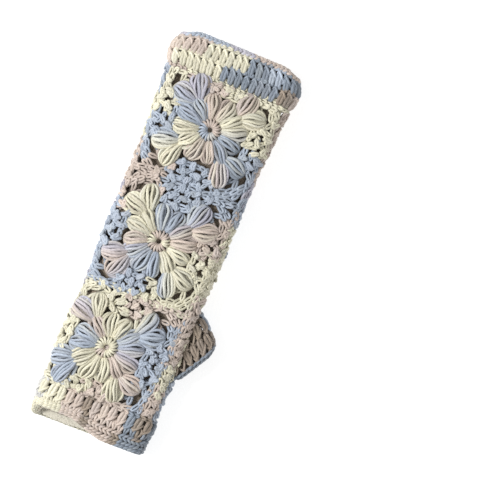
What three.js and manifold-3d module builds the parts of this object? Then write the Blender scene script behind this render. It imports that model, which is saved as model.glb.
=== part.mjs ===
// A right-hand crochet glove without fingers, lying palm down on a table, in millimetres.
// +Z is up, +Y runs to the forearm, -Y to the fingers, and the thumb sleeve points to +X.
// The origin is on the table, under the middle of the glove's box.
// Outside is crochet: six squares of net with a flower of puff stitches in each, joined along both
// sides by a strip of net, with a cuff of stitch rows at each end and a sleeve for the thumb.
// Inside is one fleece lining.

import * as THREE from 'three';
import { mergeVertices } from 'three/addons/utils/BufferGeometryUtils.js';
import Module from 'manifold-3d';

const wasm = await Module();
wasm.setup();

// Overall sizes of the glove as it lies flat
const GLOVE_LENGTH = 310;
const BODY_WIDTH = 89;
const WRIST_WIDTH = 101;
const HAND_WIDTH = 88;
const BODY_HEIGHT = 20;
const CUFF_HEIGHT = 19;
const WRIST_CUFF_LENGTH = 30.5;
const HAND_CUFF_LENGTH = 27.5;

// Layers of the wall, from the outside in, and how far what cuts one runs past it
const NET_WALL = 3.4;
const CUFF_RELIEF = 1.5;
const LINING_WALL = 1.6;
const CLEARANCE = 0.3;
const LINING_GAP = 0.6;
const CUT_PAST = 1;

// How the soft tube lies: the top is crowned, the squares have turned round towards the hand,
// the thumb sleeve props up the side that lies on it, and the rim over the back is drawn back
const CROWN = 1.5;
const TWIST = 9.6;
const THUMB_LIFT = 6;
const LIFT_REACH = 62;
const MOUTH_SETBACK = 8.5;

// Flowers of puff stitches, one to a square. Three squares fill the body, and a cuff takes the edge
// off each outer one.
const SQUARE_TUCK = 7.5;
const FLOWER_PITCH = (GLOVE_LENGTH - WRIST_CUFF_LENGTH - HAND_CUFF_LENGTH + 2 * SQUARE_TUCK) / 3;
const MIDDLE_FLOWER_Y = -0.5;
const PETAL_COUNT = 12;
const EYE_RADIUS = 2.2;
const RING_RADIUS = 8.2;
const RING_HEIGHT = 3.4;
const CORE_RADIUS = 22.5;
const CORE_DEPTH = 2.4;
const PETAL_END = 29.5;
const PETAL_HEIGHT = 4.4;
const CORNER_PETAL_START = 23;
const CORNER_PETAL_END = 43.5;
const CORNER_PETAL_WIDTH = 11.6;
const CORNER_PETAL_ANGLE = 11;
const PALM_PETAL_HEIGHT = 2.5;

// Gaps of the net and of the side strips
const GAP_LENGTH = 8;
const GAP_WIDTH = 6;
const GAP_TO_SEAM = 7.7;
const GAP_PITCH = 9.6;
const GAP_MARGIN = 1;
const SIDE_STRIP_WIDTH = 12;
const SIDE_GAP_LENGTH = 7;
const SIDE_GAP_WIDTH = 5;

// Thumb sleeve
const THUMB_WALL = 3.2;
const THUMB_RELIEF = 0.5;
const THUMB_WIDTH = 43;
const THUMB_HEIGHT = 17.6;
const THUMB_LENGTH = 52;
const THUMB_RIM_X = 58.5;
const THUMB_FROM_CUFF = 51;
const THUMB_ANGLE = 30;
const THUMB_RISE = 4;
const THUMB_FLARE = 1.13;

// How finely the shapes are divided
const SIDE_STEPS = 3;
const FLAT_STEPS = 2;
const WEDGE_STEPS = 10;
const STRIP_STEPS = 3;
const SQUARE_STEPS = 3;
const HOLE_SIDES = 12;

const HALF_LENGTH = GLOVE_LENGTH / 2;
const WRIST_JOIN = HALF_LENGTH - WRIST_CUFF_LENGTH;
const HAND_JOIN = HAND_CUFF_LENGTH - HALF_LENGTH;
const THUMB_RIM_Y = HAND_JOIN + THUMB_FROM_CUFF;
const GAP_ROW = FLOWER_PITCH / 2 - GAP_TO_SEAM;
const PALM_LOW = PALM_PETAL_HEIGHT + CLEARANCE;
const LINING_OUT = -NET_WALL - LINING_GAP;
const LINING_IN = LINING_OUT - LINING_WALL;
const THUMB_LINING_OUT = -THUMB_WALL - LINING_GAP;
const THUMB_LINING_IN = THUMB_LINING_OUT - LINING_WALL;
const LINING_SHORT = 1.5;

// Sections of the ground, which is the outer face of the net, from the hand rim to the wrist rim.
// width and height are across the lying tube, and low is how far its underside is off the table.
const SECTIONS = [
  { y: -HALF_LENGTH, width: HAND_WIDTH, height: 0.97 * CUFF_HEIGHT, low: CUFF_RELIEF },
  { y: HAND_JOIN - 0.3 * HAND_CUFF_LENGTH, width: 1.01 * HAND_WIDTH, height: CUFF_HEIGHT, low: CUFF_RELIEF },
  { y: HAND_JOIN, width: 1.02 * HAND_WIDTH, height: 0.97 * BODY_HEIGHT, low: PALM_LOW },
  { y: -0.66 * HALF_LENGTH, width: BODY_WIDTH, height: BODY_HEIGHT, low: PALM_LOW },
  { y: -0.35 * HALF_LENGTH, width: 0.98 * BODY_WIDTH, height: BODY_HEIGHT, low: PALM_LOW },
  { y: 0, width: BODY_WIDTH, height: BODY_HEIGHT, low: PALM_LOW },
  { y: 0.4 * HALF_LENGTH, width: BODY_WIDTH, height: BODY_HEIGHT, low: PALM_LOW },
  { y: 0.68 * HALF_LENGTH, width: 1.05 * BODY_WIDTH, height: BODY_HEIGHT, low: PALM_LOW },
  { y: WRIST_JOIN, width: 0.955 * WRIST_WIDTH, height: 0.97 * BODY_HEIGHT, low: PALM_LOW },
  { y: WRIST_JOIN + 0.5 * WRIST_CUFF_LENGTH, width: WRIST_WIDTH, height: CUFF_HEIGHT, low: CUFF_RELIEF },
  { y: HALF_LENGTH, width: 0.93 * WRIST_WIDTH, height: 0.94 * CUFF_HEIGHT, low: CUFF_RELIEF },
];

// Rows of a cuff, from its join to its rim: a share of the cuff's length and of its relief.
// A row of stitches stands up between two grooves, and the rim is a rolled bead.
const WRIST_ROWS = [
  { share: 0, relief: 0.2 },
  { share: 0.14, relief: 1 },
  { share: 0.44, relief: 1 },
  { share: 0.5, relief: 0.2 },
  { share: 0.56, relief: 1 },
  { share: 0.82, relief: 1 },
  { share: 0.88, relief: 0.2 },
  { share: 0.95, relief: 0.9 },
  { share: 1, relief: 0 },
];
const HAND_ROWS = [
  { share: 0, relief: 0.2 },
  { share: 0.12, relief: 1 },
  { share: 0.5, relief: 1 },
  { share: 0.6, relief: 0.2 },
  { share: 0.68, relief: 0.9 },
  { share: 0.8, relief: 0.3 },
  { share: 0.92, relief: 0.9 },
  { share: 1, relief: 0 },
];
const CUFF_INSIDE = [1, 0.5, 0];
const RIM_THINNING = 0.7;

// Rows of the thumb sleeve, from deep in the palm to its rim: a share of its length back from the
// rim, and of its relief
const THUMB_ROWS = [
  { back: 1, relief: 0 },
  { back: 0.5, relief: 0 },
  { back: 0.4, relief: 1 },
  { back: 0.3, relief: -0.8 },
  { back: 0.2, relief: 1 },
  { back: 0.09, relief: -0.8 },
  { back: 0.03, relief: 0.6 },
  { back: 0, relief: -1 },
];

// A petal across its length: its width and height there as shares of the whole
const PETAL_ROWS = [
  { along: 0.3, width: 0.6, height: 0.7 },
  { along: 0.7, width: 1, height: 1 },
];

// The squares: where the middle of each one's flower is, and where it starts and ends
const WRIST_SEAM = MIDDLE_FLOWER_Y + FLOWER_PITCH / 2;
const HAND_SEAM = MIDDLE_FLOWER_Y - FLOWER_PITCH / 2;
const FLOWERS = [
  { name: 'wrist', y: MIDDLE_FLOWER_Y + FLOWER_PITCH, from: WRIST_SEAM, to: WRIST_JOIN },
  { name: 'middle', y: MIDDLE_FLOWER_Y, from: HAND_SEAM, to: WRIST_SEAM },
  { name: 'hand', y: MIDDLE_FLOWER_Y - FLOWER_PITCH, from: HAND_JOIN, to: HAND_SEAM },
];

const mix = (a, b, t) => a + (b - a) * t;
const clamp = (t) => Math.min(1, Math.max(0, t));
const smooth = (t) => clamp(t) ** 2 * (3 - 2 * clamp(t));
const span = (count) => [...Array(count).keys()];

// The section at a place along the glove, eased between the rows of the table
function sectionAt(y) {
  const next = SECTIONS.findIndex((row, k) => k > 0 && (y <= row.y || k === SECTIONS.length - 1));
  const from = SECTIONS[next - 1];
  const to = SECTIONS[next];
  const t = smooth((y - from.y) / (to.y - from.y));
  const half = mix(from.width, to.width, t) / 2;
  const round = mix(from.height, to.height, t) / 2;
  const flat = half - round;
  return { half, round, flat, low: mix(from.low, to.low, t), quarter: flat + (Math.PI / 2) * round };
}

// How far the squares have turned round the tube, in arc length
function twistAt(y) {
  const share = (FLOWERS[0].y - y) / (2 * FLOWER_PITCH);
  return -TWIST * Math.min(1.2, Math.max(0, share)) ** 1.4;
}

// The side over the thumb sleeve is propped up, and the other side stays down
function liftAt(x, y, half) {
  const away = clamp(Math.abs(y - 0.8 * THUMB_RIM_Y) / LIFT_REACH);
  return THUMB_LIFT * Math.cos((Math.PI / 2) * away) ** 2 * smooth((x + half) / (2 * half));
}

// The rim over the back of the hand is drawn back on the outer side, so that the mouth shows
function setbackAt(x, z, y, s) {
  const along = smooth((HAND_JOIN - 0.35 * HAND_CUFF_LENGTH - y) / (0.65 * HAND_CUFF_LENGTH));
  const above = smooth((z - s.low) / (1.2 * s.round));
  return MOUTH_SETBACK * along * above * smooth((0.35 - x / s.half) / 0.8);
}

// The place on the tube at an arc length round it from the middle of its back, and at a height
// over the ground
function place(around, y, height) {
  const s = sectionAt(y);
  const a = around - 4 * s.quarter * Math.round(around / (4 * s.quarter));
  const side = Math.abs(a) <= s.quarter ? 1 : -1;
  const d = side > 0 ? a : Math.sign(a) * (2 * s.quarter - Math.abs(a));
  const turn = Math.max(0, (Math.abs(d) - s.flat) / s.round);
  const x = Math.sign(d) * (Math.min(Math.abs(d), s.flat) + (s.round + height) * Math.sin(turn));
  const z = s.low + s.round + side * (s.round + height) * Math.cos(turn);
  const crown = CROWN * clamp((z - s.low) / (2 * s.round)) * Math.max(0, 1 - (x / s.half) ** 2);
  return new THREE.Vector3(x, y + setbackAt(x, z, y, s), z + crown + liftAt(x, y, s.half));
}

// The middle of a square round the tube, at a place along the glove
const middleAt = (side, y) => twistAt(y) + (side === 'back' ? 0 : 2 * sectionAt(y).quarter);

// A place on a square: p across and q along from its flower's middle, on the back or the palm
function onSquare(flower, side, p, q, height) {
  const y = flower.y + q;
  return place(middleAt(side, y) + (side === 'back' ? p : -p), y, height);
}

// A solid from points and triangles, turned to face out
function solid(points, faces) {
  const geometry = new THREE.BufferGeometry().setFromPoints(points);
  geometry.setIndex(faces);
  const merged = mergeVertices(geometry, 1e-4);
  const vertProperties = merged.attributes.position.array;
  const triVerts = new Uint32Array(merged.index.array);
  const corner = span(3).map(() => new THREE.Vector3());
  let volume = 0;
  for (let i = 0; i < triVerts.length; i += 3) {
    corner.forEach((v, k) => v.fromArray(vertProperties, 3 * triVerts[i + k]));
    volume += corner[0].dot(corner[1].clone().cross(corner[2]));
  }
  if (volume < 0) triVerts.reverse();
  return new wasm.Manifold(new wasm.Mesh({ numProp: 3, vertProperties, triVerts }));
}

// Triangles that join two rings of n points, with every second cell split the other way
function bands(n, from, to) {
  return span(n).flatMap((i) => {
    const j = (i + 1) % n;
    return i % 2
      ? [from + i, from + j, to + j, from + i, to + j, to + i]
      : [from + i, from + j, to + i, from + j, to + j, to + i];
  });
}

// A solid from rings, with both ends closed by fans
function fromRings(rings) {
  const n = rings[0].length;
  const points = rings.flat();
  const faces = rings.slice(1).flatMap((_, j) => bands(n, j * n, (j + 1) * n));
  [0, rings.length - 1].forEach((j) => {
    const middle = rings[j].reduce((sum, p) => sum.addScaledVector(p, 1 / n), new THREE.Vector3());
    const m = points.push(middle) - 1;
    span(n).forEach((i) => {
      const edge = [j * n + i, j * n + ((i + 1) % n)];
      faces.push(m, ...(j === 0 ? edge.reverse() : edge));
    });
  });
  return solid(points, faces);
}

// A solid from rings whose last one meets the first, so that a hole runs through it
function fromLoop(rings) {
  const n = rings[0].length;
  return solid(rings.flat(), rings.flatMap((_, j) => bands(n, j * n, ((j + 1) % rings.length) * n)));
}

// A solid from loops that are each a thin strip, there and back: the ends are closed by cells
function fromStrips(loops) {
  const n = loops[0].length;
  const faces = loops.slice(1).flatMap((_, j) => bands(n, j * n, (j + 1) * n));
  const end = (loops.length - 1) * n;
  span(n / 2 - 1).forEach((i) => {
    const across = n - 1 - i;
    faces.push(i, across, across - 1, i, across - 1, i + 1);
    faces.push(end + i, end + across - 1, end + across, end + i, end + i + 1, end + across - 1);
  });
  return solid(loops.flat(), faces);
}

const union = (list) => list.reduce((sum, one) => sum.add(one));

// A cut across a piece can leave a loose crumb, which the real stitches don't have
function largest(manifold) {
  return manifold.decompose().reduce((best, one) => (one.volume() > best.volume() ? one : best));
}

// Arc lengths of the corners round one section: few on the flats, more on the round sides
function cornersRound(y) {
  const s = sectionAt(y);
  const quarter = [
    ...span(FLAT_STEPS).map((i) => (s.flat * i) / FLAT_STEPS),
    ...span(SIDE_STEPS).map((i) => mix(s.flat, s.quarter, i / SIDE_STEPS)),
  ];
  const half = [...quarter, s.quarter, ...quarter.slice(1).reverse().map((d) => 2 * s.quarter - d)];
  return [...half, ...half.map((d) => d + 2 * s.quarter)];
}

const ringAt = (y, height) => cornersRound(y).map((a) => place(a, y, height));

// The whole section as a closed solid between two places, for cutting and for the lining
const fullTube = (stations, height) => fromRings(stations.map((y) => ringAt(y, height)));

// A wall of net right round the tube
function netRing(stations) {
  return fromLoop([
    ...stations.map((y) => ringAt(y, 0)),
    ...[...stations].reverse().map((y) => ringAt(y, -NET_WALL)),
  ]);
}

// A thick block that keeps the stretch of a net ring between two edges
function wedge(stations, edges, steps) {
  return fromStrips(trimmed(stations, -CUT_PAST).map((y) => {
    const [from, to] = edges(y);
    const row = (height) => span(steps + 1).map((i) => place(mix(from, to, i / steps), y, height));
    return [...row(PETAL_HEIGHT), ...row(-2 * NET_WALL).reverse()];
  }));
}

// A straight cutter through the net: at gives the place that lies p across and q along
function cutter(at, p, q, halfP, halfQ, sides) {
  return fromRings([-2 * NET_WALL, PETAL_HEIGHT].map((height) => span(sides).map((i) => {
    const turn = (2 * Math.PI * i) / sides;
    return at(p + halfP * Math.sin(turn), q + halfQ * Math.cos(turn), height);
  })));
}

// Stations along the glove, shared by every layer so that the layers bend alike
const stationsOf = ({ from, to }) => span(SQUARE_STEPS + 1).map((i) => mix(from, to, i / SQUARE_STEPS));
const BODY_STATIONS = [...FLOWERS].reverse().flatMap((flower, k) => stationsOf(flower).slice(k ? 1 : 0));
const handCuffAt = (share) => mix(HAND_JOIN, -HALF_LENGTH, share);
const wristCuffAt = (share) => mix(WRIST_JOIN, HALF_LENGTH, share);

// Pulls the two end stations in, so that neighbours keep their gap
function trimmed(stations, by) {
  const list = [...stations];
  list[0] += by;
  list[list.length - 1] -= by;
  return list;
}

// Thumb sleeve: a flattened tube on a slanting axis that comes down out of the palm to its rim
const thumbTurn = THREE.MathUtils.degToRad(THUMB_ANGLE);
const thumbAxis = new THREE.Vector3(Math.cos(thumbTurn), -Math.sin(thumbTurn), -THUMB_RISE / THUMB_LENGTH);
const thumbAcross = new THREE.Vector3(Math.sin(thumbTurn), Math.cos(thumbTurn), 0);
const thumbRim = new THREE.Vector3(THUMB_RIM_X, THUMB_RIM_Y, THUMB_HEIGHT / 2 + THUMB_RELIEF);

// back is the distance from the rim into the palm, and grow is the offset from the outer face
function thumbRing(back, grow) {
  const flare = mix(1, THUMB_FLARE, smooth(back / (0.6 * THUMB_LENGTH)));
  const tuck = 0.1 * (1 - smooth(back / (0.12 * THUMB_LENGTH)));
  const round = THUMB_HEIGHT / 2;
  const flat = (THUMB_WIDTH / 2) * (flare - tuck) - round;
  const middle = thumbRim.clone().addScaledVector(thumbAxis, -back);
  return [1, -1].flatMap((side) => span(2 * SIDE_STEPS + 1).map((i) => {
    const turn = side * Math.PI * (0.5 - i / (2 * SIDE_STEPS));
    const across = side * (flat + (round + grow) * Math.cos(turn));
    const up = new THREE.Vector3(0, 0, (round + grow) * Math.sin(turn));
    return middle.clone().addScaledVector(thumbAcross, across).add(up);
  }));
}
const THUMB_STATIONS = [1, 0.5, 0.12, 0];
// The hull is the sleeve without its bore, grown all round, and a bore runs past both its ends
const thumbHull = (grow) => fromRings(
  THUMB_STATIONS.map((share) => thumbRing(mix(-grow, THUMB_LENGTH + grow, share), grow)),
);
const thumbBore = (grow) => fromRings(
  THUMB_STATIONS.map((share) => thumbRing(mix(-2 * CUT_PAST, THUMB_LENGTH + 2 * CUT_PAST, share), grow)),
);

// The sleeve leaves the palm between its middle square and its hand square
const meetsThumb = (flower, side) => side === 'palm' && flower.name !== 'wrist';

// Points across a petal at one distance from the flower's middle, from edge to edge over its top
function petalRow(flower, side, angle, r, halfWidth, base, top) {
  const points = [
    { w: -1, h: 0 },
    { w: -0.4, h: 1 },
    { w: 0.4, h: 1 },
    { w: 1, h: 0 },
  ];
  return points.map(({ w, h }) => {
    const p = r * Math.sin(angle) + w * halfWidth * Math.cos(angle);
    const q = r * Math.cos(angle) - w * halfWidth * Math.sin(angle);
    return onSquare(flower, side, p, q, mix(base, top, h));
  });
}

// One petal of a pair in the corner of a square, pointed at both ends
function cornerPetal(flower, side, angle, height) {
  const base = 2 * CLEARANCE;
  const at = (share) => mix(CORNER_PETAL_START, CORNER_PETAL_END, share);
  const tip = (share) => (
    onSquare(flower, side, at(share) * Math.sin(angle), at(share) * Math.cos(angle), 1.5 * base)
  );
  const rows = PETAL_ROWS.map((row) => petalRow(flower, side, angle, at(row.along),
    (row.width * CORNER_PETAL_WIDTH) / 2, base, mix(base, height, row.height)));
  const n = rows[0].length;
  const first = 1;
  const last = 1 + (rows.length - 1) * n;
  const end = last + n;
  const faces = rows.slice(1).flatMap((_, j) => bands(n, first + j * n, first + (j + 1) * n));
  span(n).forEach((i) => {
    const j = (i + 1) % n;
    faces.push(0, first + j, first + i, end, last + i, last + j);
  });
  return solid([tip(0), ...rows.flat(), tip(1)], faces);
}

// Rings of the flower from its underside over its petals to its eye. A ring alternates between
// the petals' crests and the valleys between them.
function flowerRings(height) {
  const ring = Math.min(RING_HEIGHT, height);
  const base = 2 * CLEARANCE;
  const valley = mix(CORE_RADIUS, PETAL_END, 0.6);
  const at = (share) => mix(RING_RADIUS, PETAL_END, share);
  return [
    { crest: [EYE_RADIUS, -CORE_DEPTH], valley: [EYE_RADIUS, -CORE_DEPTH] },
    { crest: [CORE_RADIUS, -CORE_DEPTH], valley: [CORE_RADIUS, -CORE_DEPTH] },
    { crest: [CORE_RADIUS, base], valley: [CORE_RADIUS, base] },
    { crest: [PETAL_END, base], valley: [valley, base] },
    { crest: [at(0.7), height], valley: [at(0.7), mix(base, height, 0.35)] },
    { crest: [at(0.25), 0.75 * height], valley: [at(0.25), mix(base, height, 0.3)] },
    { crest: [RING_RADIUS, mix(base, ring, 0.3)], valley: [RING_RADIUS, mix(base, ring, 0.3)] },
    { crest: [0.72 * RING_RADIUS, ring], valley: [0.72 * RING_RADIUS, ring] },
    { crest: [EYE_RADIUS, 0.5 * ring], valley: [EYE_RADIUS, 0.5 * ring] },
  ];
}

// The flower: twelve petals round a raised ring with an eye, and two petals in each corner
function flowerSolid(flower, side) {
  const height = side === 'back' ? PETAL_HEIGHT : PALM_PETAL_HEIGHT;
  const rings = flowerRings(height).map((row) => span(2 * PETAL_COUNT).map((i) => {
    const [r, h] = i % 2 ? row.crest : row.valley;
    const turn = (Math.PI * i) / PETAL_COUNT;
    return onSquare(flower, side, r * Math.sin(turn), r * Math.cos(turn), h);
  }));
  const spread = THREE.MathUtils.degToRad(CORNER_PETAL_ANGLE);
  const corners = span(4).flatMap((corner) => [-spread, spread].map((off) => (
    cornerPetal(flower, side, Math.PI / 4 + (corner * Math.PI) / 2 + off, height)
  )));
  const ground = fullTube(trimmed(BODY_STATIONS, -CUT_PAST), CLEARANCE);
  const whole = fromLoop(rings).add(union(corners).subtract(ground));
  return meetsThumb(flower, side) ? largest(whole.subtract(thumbHull(THUMB_RELIEF + CLEARANCE))) : whole;
}

// Edges of a square round the tube, where the side strips begin
function squareEdges(side, y) {
  const reach = sectionAt(y).quarter - SIDE_STRIP_WIDTH / 2 - CLEARANCE / 2;
  return [middleAt(side, y) - reach, middleAt(side, y) + reach];
}

// Places of the gaps in the net of one square: three along each side
function gapPlaces(flower) {
  const places = [];
  const across = { p: GAP_WIDTH / 2, q: GAP_LENGTH / 2 };
  [-GAP_PITCH, 0, GAP_PITCH].forEach((off) => {
    [-GAP_ROW, GAP_ROW].forEach((p) => places.push({ p, q: off, halfP: across.p, halfQ: across.q }));
    [-GAP_ROW, GAP_ROW].forEach((q) => places.push({ p: off, q, halfP: across.q, halfQ: across.p }));
  });
  const room = (gap) => Math.min(flower.to - flower.y - gap.q, gap.q + flower.y - flower.from) - gap.halfQ;
  return places.filter((gap) => room(gap) > GAP_MARGIN);
}

function netSolid(flower, side) {
  const at = (p, q, height) => onSquare(flower, side, p, q, height);
  const hole = (CORE_RADIUS + 2 * CLEARANCE) / Math.cos(Math.PI / HOLE_SIDES);
  const holes = gapPlaces(flower).map((gap) => cutter(at, gap.p, gap.q, gap.halfP, gap.halfQ, 4));
  holes.push(cutter(at, 0, 0, hole, hole, HOLE_SIDES));
  if (meetsThumb(flower, side)) holes.push(thumbHull(THUMB_RELIEF + CLEARANCE));
  const ring = netRing(trimmed(stationsOf(flower), CLEARANCE / 2));
  const block = wedge(stationsOf(flower), (y) => squareEdges(side, y), WEDGE_STEPS);
  return largest(ring.intersect(block).subtract(union(holes)));
}

// The strip of net down one side, from cuff to cuff
function sideStrip(sign) {
  const middle = (y) => twistAt(y) + sign * sectionAt(y).quarter;
  const reach = SIDE_STRIP_WIDTH / 2 - CLEARANCE / 2;
  const at = (p, q, height) => place(middle(q) + p, q, height);
  const holes = FLOWERS.flatMap((flower) => [0.27, 0.73].map((share) => (
    cutter(at, 0, mix(flower.from, flower.to, share), SIDE_GAP_WIDTH / 2, SIDE_GAP_LENGTH / 2, 4)
  )));
  if (sign > 0) holes.push(thumbHull(THUMB_RELIEF + CLEARANCE));
  const ring = netRing(trimmed(BODY_STATIONS, CLEARANCE / 2));
  const block = wedge(BODY_STATIONS, (y) => [middle(y) - reach, middle(y) + reach], STRIP_STEPS);
  return largest(ring.intersect(block).subtract(union(holes)));
}

// A cuff: its rows outside and its plain inside, swept round the section
function cuffSolid(rows, at, inward) {
  const join = inward * CLEARANCE;
  const outside = rows.map((row) => ringAt(at(row.share) + (row.share ? 0 : join), row.relief * CUFF_RELIEF));
  const inside = CUFF_INSIDE.map((share) => {
    const wall = share === 1 ? RIM_THINNING * NET_WALL : NET_WALL;
    return ringAt(at(share) + (share ? 0 : join), -wall);
  });
  return fromLoop([...outside, ...inside]);
}

// The lining: the hand's tube and the thumb's tube, hollow through, a little short of the rims
function liningSolid() {
  const inside = [
    ...CUFF_INSIDE.slice(0, -1).map(handCuffAt),
    ...BODY_STATIONS,
    ...CUFF_INSIDE.slice(0, -1).reverse().map(wristCuffAt),
  ];
  const sleeve = fromRings(THUMB_STATIONS.map((share) => (
    thumbRing(mix(LINING_SHORT, THUMB_LENGTH, share), THUMB_LINING_OUT)
  )));
  const body = fullTube(trimmed(inside, LINING_SHORT), LINING_OUT);
  const hollow = fullTube(trimmed(inside, -LINING_SHORT), LINING_IN);
  return largest(body.add(sleeve).subtract(hollow).subtract(thumbBore(THUMB_LINING_IN)));
}

function thumbSleeve() {
  const outside = fromRings(THUMB_ROWS.map((row) => (
    thumbRing(row.back * THUMB_LENGTH, row.relief * THUMB_RELIEF)
  )));
  const body = fullTube(BODY_STATIONS, CLEARANCE);
  return largest(outside.subtract(thumbBore(-THUMB_WALL)).subtract(body));
}

// Finishes: one space-dyed wool, which reads cream, pink and blue, and a fleece
const wool = (color) => new THREE.MeshStandardMaterial({ color, roughness: 0.9, metalness: 0 });
const netYarn = wool(0xc9c8cf);
const cuffYarn = wool(0xcdc6c2);
const flowerYarn = wool(0xdcd4c4);
const fleece = wool(0xcfc6ac);

function meshOf(name, manifold, material) {
  const { numProp, vertProperties, triVerts } = manifold.getMesh();
  const geometry = new THREE.BufferGeometry();
  const position = vertProperties.filter((_, i) => i % numProp < 3);
  geometry.setAttribute('position', new THREE.BufferAttribute(position, 3));
  geometry.setIndex(new THREE.BufferAttribute(triVerts, 1));
  geometry.computeVertexNormals();
  const mesh = new THREE.Mesh(geometry, material);
  mesh.name = name;
  return mesh;
}

const glove = new THREE.Group();
glove.name = 'crochet_glove';
glove.add(meshOf('lining', liningSolid(), fleece));
glove.add(meshOf('wrist_cuff', cuffSolid(WRIST_ROWS, wristCuffAt, 1), cuffYarn));
glove.add(meshOf('hand_cuff', cuffSolid(HAND_ROWS, handCuffAt, -1), cuffYarn));
glove.add(meshOf('thumb_sleeve', thumbSleeve(), cuffYarn));
glove.add(meshOf('side_strip_thumb', sideStrip(1), netYarn));
glove.add(meshOf('side_strip_outer', sideStrip(-1), netYarn));
['back', 'palm'].forEach((side) => {
  FLOWERS.forEach((flower) => {
    glove.add(meshOf(`net_${side}_${flower.name}`, netSolid(flower, side), netYarn));
    glove.add(meshOf(`flower_${side}_${flower.name}`, flowerSolid(flower, side), flowerYarn));
  });
});

// The origin goes under the middle of the glove's box
const box = new THREE.Box3().setFromObject(glove);
glove.position.set(-(box.min.x + box.max.x) / 2, -(box.min.y + box.max.y) / 2, -box.min.z);

export default glove;
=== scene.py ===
import math

import bmesh
import bpy
import numpy as np
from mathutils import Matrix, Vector


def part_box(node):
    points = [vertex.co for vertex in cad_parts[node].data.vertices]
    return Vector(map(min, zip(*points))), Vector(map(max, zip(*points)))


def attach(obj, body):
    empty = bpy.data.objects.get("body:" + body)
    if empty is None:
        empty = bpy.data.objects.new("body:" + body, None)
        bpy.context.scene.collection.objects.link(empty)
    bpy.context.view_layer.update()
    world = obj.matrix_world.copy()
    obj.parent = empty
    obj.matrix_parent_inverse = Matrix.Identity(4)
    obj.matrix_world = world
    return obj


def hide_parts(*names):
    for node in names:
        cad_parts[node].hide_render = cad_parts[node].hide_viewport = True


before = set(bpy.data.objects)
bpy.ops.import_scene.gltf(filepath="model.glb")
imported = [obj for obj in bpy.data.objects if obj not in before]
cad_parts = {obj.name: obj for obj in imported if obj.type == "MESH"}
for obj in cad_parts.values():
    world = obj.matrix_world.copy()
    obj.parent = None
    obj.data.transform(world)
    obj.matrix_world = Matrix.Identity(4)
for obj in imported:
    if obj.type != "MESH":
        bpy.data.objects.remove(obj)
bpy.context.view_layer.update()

# The glove lies palm down: +Y runs to the forearm, +X to the side of the thumb, and +Z up.
# Shapes are worked out in millimetres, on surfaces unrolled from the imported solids: a place is
# a distance round the tube or across a square, a distance along it, and a height over its ground.
MM = 0.001

# Sizes of the lying tube, as the solids have them
GLOVE_LENGTH = 310.0
BODY_WIDTH = 89.0
WRIST_WIDTH = 101.0
HAND_WIDTH = 88.0
BODY_HEIGHT = 20.0
CUFF_HEIGHT = 19.0
WRIST_CUFF_LENGTH = 30.5
HAND_CUFF_LENGTH = 27.5
FLOWER_PITCH = 89.0
MIDDLE_FLOWER_Y = -0.5
SIDE_STRIP_WIDTH = 12.0
LINING_DEPTH = 4.0
LINING_WALL = 1.6

# How the tube lies: cuffs and palm a little off the table, the back crowned, and the squares turned
# round it more and more towards the hand
CUFF_RELIEF = 1.5
PALM_LOW = 2.8
CROWN = 1.5
TWIST = 9.6
TWIST_POWER = 1.4

# It is lifted where it lies on the thumb sleeve, most at a share of the way to the sleeve's rim
THUMB_LIFT = 6.0
LIFT_REACH = 62.0
LIFT_MIDDLE = 0.8

# The hand rim is drawn back over the back of the hand, beyond a share of its cuff's length, and
# runs on to its outer corner. The corners of the wrist rim are drawn in.
MOUTH_SETBACK = 8.5
MOUTH_FROM = 0.35
MOUTH_START = 0.5
HAND_CORNER_REACH = 2.2
WRIST_CORNER_DRAW = 4.0

# Sizes of the thumb sleeve, whose rim is drawn in at its corners and leans to the hand end
THUMB_WIDTH = 43.0
THUMB_HEIGHT = 17.6
THUMB_LENGTH = 52.0
THUMB_RIM = np.array([58.5, -76.5, 9.3])
THUMB_ANGLE = math.radians(30)
THUMB_RISE = 4.0
THUMB_FLARE = 1.13
THUMB_TUCK = 0.1
THUMB_CORNER_DRAW = 5.0
THUMB_UPPER_DRAW = 2.0
THUMB_DRAW_REACH = 22.0
THUMB_LEAN = 3.0
THUMB_LEAN_REACH = 25.0

THUMB_ALONG = np.array([math.cos(THUMB_ANGLE), -math.sin(THUMB_ANGLE), -THUMB_RISE / THUMB_LENGTH])
THUMB_ACROSS = np.array([math.sin(THUMB_ANGLE), math.cos(THUMB_ANGLE), 0.0])
THUMB_ROUND = THUMB_HEIGHT / 2

HALF_LENGTH = GLOVE_LENGTH / 2
WRIST_JOIN = HALF_LENGTH - WRIST_CUFF_LENGTH
HAND_JOIN = HAND_CUFF_LENGTH - HALF_LENGTH

# The middle of the wrist cuff is the middle of the tube
cuff_low, cuff_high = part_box("wrist_cuff")
TUBE_MIDDLE = np.array([(cuff_low[0] + cuff_high[0]) / 2 / MM, 0.0, 0.0])

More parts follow.
